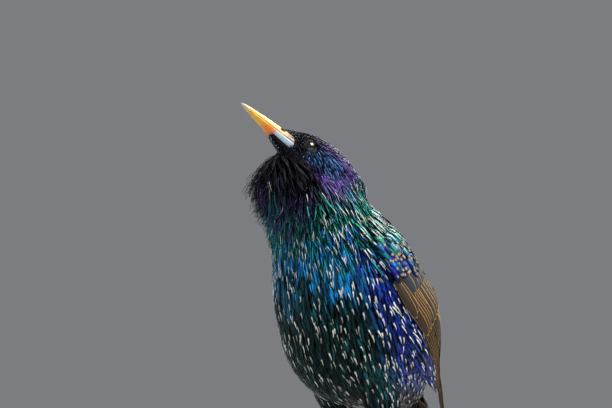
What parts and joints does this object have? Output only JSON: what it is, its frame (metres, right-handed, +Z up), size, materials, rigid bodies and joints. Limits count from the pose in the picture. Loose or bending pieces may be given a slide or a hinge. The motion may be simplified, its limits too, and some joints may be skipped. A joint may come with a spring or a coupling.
{
  "type": "common starling",
  "caption": "Life-size still model of a common starling in song, standing upright with raised bill and puffed throat feathers.",
  "frame": {"origin": "middle of the bird's bounding box, at floor level under the feet", "axes": "+Z up; -Y is the way the bird faces, so +X is its left side"},
  "size_m": [0.0792, 0.145, 0.18],
  "materials": {
    "bill": "satin",
    "bill_base": "satin",
    "eye": "gloss",
    "claw": "satin",
    "leg_skin": "matt",
    "wing_feathers": "satin",
    "tail_feathers": "satin",
    "head_feathers": "gloss",
    "neck_feathers": "gloss",
    "body_feathers": "gloss"
  },
  "bodies": {
    "root": {"head": "head_feathers", "neck": "neck_feathers", "torso": "body_feathers", "bill_upper": "bill", "bill_lower": "bill_base", "tail": "tail_feathers", "eye_left": "eye", "wing_left": "wing_feathers", "thigh_left": "body_feathers", "shank_left": "leg_skin", "foot_left": "leg_skin", "claw_inner_left": "claw", "claw_middle_left": "claw", "claw_outer_left": "claw", "claw_hind_left": "claw", "eye_right": "eye", "wing_right": "wing_feathers", "thigh_right": "body_feathers", "shank_right": "leg_skin", "foot_right": "leg_skin", "claw_inner_right": "claw", "claw_middle_right": "claw", "claw_outer_right": "claw", "claw_hind_right": "claw"}
  },
  "joints": []
}
